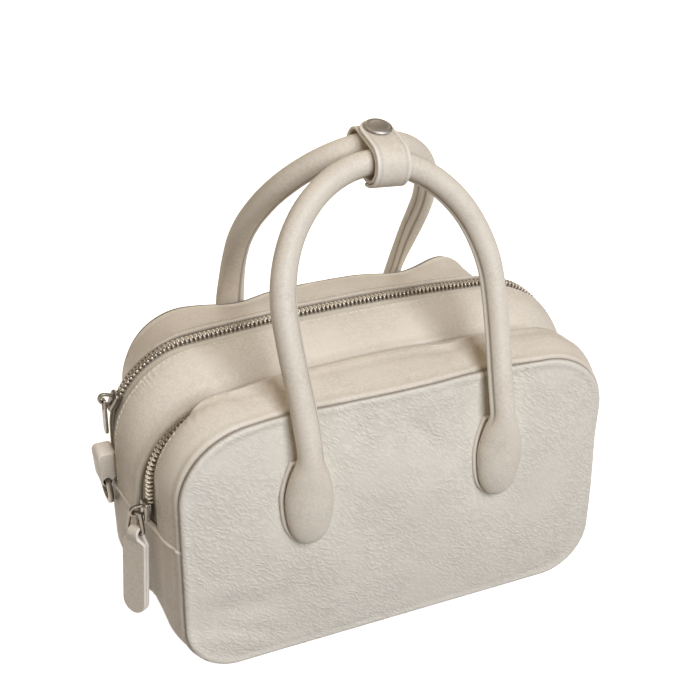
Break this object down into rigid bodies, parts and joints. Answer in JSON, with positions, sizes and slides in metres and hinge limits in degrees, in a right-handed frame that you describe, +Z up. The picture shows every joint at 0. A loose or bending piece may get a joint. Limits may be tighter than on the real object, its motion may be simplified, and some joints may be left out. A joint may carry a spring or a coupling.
{
  "type": "boston bag",
  "caption": "Cream leather boston bag with a zipped main compartment, a zipped front compartment, rolled handles joined by a snap keeper, and strap rings on side tabs",
  "frame": {"origin": "On the surface that the bag stands on, under the middle of its overall width and depth", "axes": "+X runs along the bag's width to its right as seen from the front, +Y runs from the front panel to the back panel, +Z runs up to the handles"},
  "size_m": [0.2966, 0.1608, 0.2776],
  "materials": {
    "leather": "cream pebbled leather, semi-matte",
    "tape": "woven zip tape, matte",
    "metal": "silver-grey metal, soft polish"
  },
  "bodies": {
    "bag": {"front_gusset": "leather", "front_base_gusset": "leather", "main_front_gusset": "leather", "main_rear_gusset": "leather", "main_base_gusset": "leather", "front_panel": "leather", "back_panel": "leather", "divider_panel": "leather", "front_slider": "metal", "main_slider": "metal", "front_zip_tape": "tape", "front_zip_chain": "metal", "main_zip_tape": "tape", "main_zip_chain": "metal", "front_left_drop_tab": "leather", "front_right_drop_tab": "leather", "front_handle": "leather", "rear_left_drop_tab": "leather", "rear_right_drop_tab": "leather", "rear_handle": "leather", "keeper_band": "leather", "keeper_end": "leather", "snap_cap": "metal", "left_side_tab": "leather", "right_side_tab": "leather"},
    "left_ring": {"left_strap_ring": "metal"},
    "right_ring": {"right_strap_ring": "metal"},
    "front_pull": {"front_pull_link": "metal", "front_pull_leather": "leather"},
    "main_pull_tab": {"main_pull": "metal"}
  },
  "joints": [
    {"name": "left_ring_swing", "type": "hinge", "parent": "bag", "child": "left_ring", "pos_m": [-0.14212, 0.01441, 0.08553], "axis": [0, 1, 0], "range_deg": [0, 120]},
    {"name": "right_ring_swing", "type": "hinge", "parent": "bag", "child": "right_ring", "pos_m": [0.1438, 0.01441, 0.08553], "axis": [0, -1, 0], "range_deg": [0, 120]},
    {"name": "front_pull_swing", "type": "hinge", "parent": "bag", "child": "front_pull", "pos_m": [-0.13824, -0.03308, 0.09058], "axis": [-0.5736, 0.8192, 0], "range_deg": [0, 110]},
    {"name": "main_pull_swing", "type": "hinge", "parent": "bag", "child": "main_pull_tab", "pos_m": [-0.13888, 0.01441, 0.13313], "axis": [0, 1, 0], "range_deg": [0, 110]}
  ]
}
